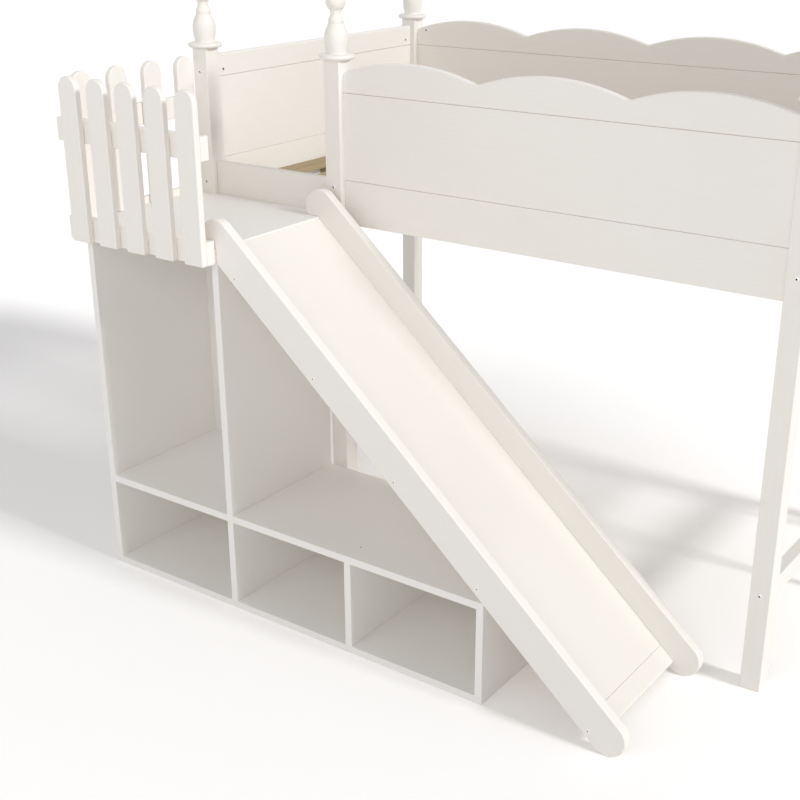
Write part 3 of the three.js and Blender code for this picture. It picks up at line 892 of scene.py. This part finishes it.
screw_height_on_slide = slide_board_lift + slide_board_thickness / 2
screw_stops = [screw_start + screw_pitch * number for number in range(screw_count)]
screw_stops.append(lip_end - lip_length * lip_screw_share)
near_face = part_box("slide_near_stringer")[0].y
far_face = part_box("slide_far_stringer")[1].y
for number, along in enumerate(screw_stops, 1):
    x, z = on_slide(along, screw_height_on_slide)
    for side, y, facing in (("near", near_face, to_front), ("far", far_face, to_back)):
        head = driven_head(screw_head, screw_height, screw_slot, cross)
        drive(f"slide_screw_{side}_{number}", head, Vector((x, y, z)), facing)
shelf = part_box("low_shelf")
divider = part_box("cubby_divider_right")
for number, y in enumerate((shelf[0].y + shelf_screw_inset, shelf[1].y - shelf_screw_inset), 1):
    head = driven_head(screw_head, screw_height, screw_slot, cross)
    place = Vector(((divider[0].x + divider[1].x) / 2, y, shelf[1].z))
    drive(f"shelf_screw_{number}", head, place, upward)


# Floor: a plain matt white studio floor that runs far past the view. The camera sees it lighter
# than it is: a little in front of the bed, which keeps its shadow, and more behind it, up to white.
floor_half = 60.0
lift_centre = (-1.5, -1.5, 0)
lift_start = 2.2
lift_end = 3.8
floor = bpy.data.materials.new("matt_white_floor")
floor.use_nodes = True
floor.node_tree.nodes.clear()
rays = add_node(floor, "ShaderNodeLightPath")
seen = add_node(floor, "ShaderNodeMath", {
    0: rays.outputs["Is Camera Ray"], 1: rays.outputs["Is Glossy Ray"]}, operation="MAXIMUM")
seen_too = add_node(floor, "ShaderNodeMath", {
    0: seen.outputs["Value"], 1: rays.outputs["Is Transmission Ray"]}, operation="MAXIMUM")
matt = add_node(floor, "ShaderNodeBsdfDiffuse", {"Color": linear("F4F3F3")})
floor_place = add_node(floor, "ShaderNodeTexCoord").outputs["Object"]
floor_reach = add_node(
    floor, "ShaderNodeVectorMath", {0: floor_place, 1: lift_centre}, operation="DISTANCE")
far_off = add_node(floor, "ShaderNodeMapRange", {
    "Value": floor_reach.outputs["Value"], "From Min": lift_start, "From Max": lift_end},
    interpolation_type="SMOOTHSTEP")
lift_colour = add_node(
    floor, "ShaderNodeMix",
    {"Factor": far_off.outputs["Result"], "A": linear("848383"), "B": linear("C6C5C5")},
    data_type="RGBA")
lift = add_node(floor, "ShaderNodeBsdfDiffuse", {"Color": lift_colour.outputs["Result"]})
lifted = add_node(floor, "ShaderNodeAddShader", {0: matt.outputs["BSDF"], 1: lift.outputs["BSDF"]})
shown = add_node(floor, "ShaderNodeMixShader", {
    0: seen_too.outputs["Value"], 1: matt.outputs["BSDF"], 2: lifted.outputs["Shader"]})
add_node(floor, "ShaderNodeOutputMaterial", {"Surface": shown.outputs["Shader"]})
floor_mesh = bpy.data.meshes.new("studio_floor")
floor_mesh.from_pydata(
    [(-floor_half, -floor_half, 0), (floor_half, -floor_half, 0),
     (floor_half, floor_half, 0), (-floor_half, floor_half, 0)],
    [], [(0, 1, 2, 3)])
floor_mesh.materials.append(floor)
studio_floor = bpy.data.objects.new("studio_floor", floor_mesh)
bpy.context.collection.objects.link(studio_floor)


# Light: a bright white room, a low soft sun from beyond the ladder end, as the long floor shadows
# show, and three soft panels in front of the slide that reach into the wardrobe and cubbies. White
# boards pass the light on many times, which keeps the cubbies pale to their backs.
light_passes = 10
room_strength = 0.47
sun_strength = 1.6
sun_width = math.radians(9)
sun_drift = -0.03
sun_rise = math.radians(29)
world = bpy.data.worlds.new("white_room")
world.use_nodes = True
world.node_tree.nodes.clear()
room_rays = add_node(world, "ShaderNodeLightPath")
room_seen = add_node(
    world, "ShaderNodeMath",
    {0: room_rays.outputs["Is Camera Ray"], 1: room_rays.outputs["Is Glossy Ray"]},
    operation="MAXIMUM")
white = (1, 1, 1, 1)
room_light = add_node(world, "ShaderNodeBackground", {"Color": white, "Strength": room_strength})
room_white = add_node(world, "ShaderNodeBackground", {"Color": white, "Strength": 1.0})
room = add_node(world, "ShaderNodeMixShader", {
    0: room_seen.outputs["Value"], 1: room_light.outputs["Background"],
    2: room_white.outputs["Background"]})
add_node(world, "ShaderNodeOutputWorld", {"Surface": room.outputs["Shader"]})
bpy.context.scene.world = world
sun_data = bpy.data.lights.new("low_sun", "SUN")
sun_data.energy = sun_strength
sun_data.angle = sun_width
sun = bpy.data.objects.new("low_sun", sun_data)
sun.rotation_mode = "QUATERNION"
sun_way = Vector((-math.cos(sun_rise), sun_drift, -math.sin(sun_rise)))
sun.rotation_quaternion = sun_way.to_track_quat("-Z", "Y")
bpy.context.collection.objects.link(sun)
panel_height = 2.8
panel_aim = Vector((-0.2, 0.0, 0.9))
for panel, panel_width, panel_strength, panel_place in (
    ("right_panel", 3.0, 52.0, Vector((3.9, -6.2, 3.4))),
    ("left_panel", 3.0, 16.0, Vector((-4.5, -6.2, 2.0))),
    ("high_panel", 6.0, 82.0, Vector((-0.3, -7.0, 4.5))),
):
    panel_data = bpy.data.lights.new(panel, "AREA")
    panel_data.shape = "RECTANGLE"
    panel_data.size = panel_width
    panel_data.size_y = panel_height
    panel_data.energy = panel_strength
    soft_panel = bpy.data.objects.new(panel, panel_data)
    soft_panel.location = panel_place
    soft_panel.rotation_mode = "QUATERNION"
    soft_panel.rotation_quaternion = (panel_aim - panel_place).to_track_quat("-Z", "Y")
    bpy.context.collection.objects.link(soft_panel)
bpy.context.scene.view_settings.view_transform = "Standard"
bpy.context.scene.cycles.max_bounces = light_passes + 4
bpy.context.scene.cycles.diffuse_bounces = light_passes
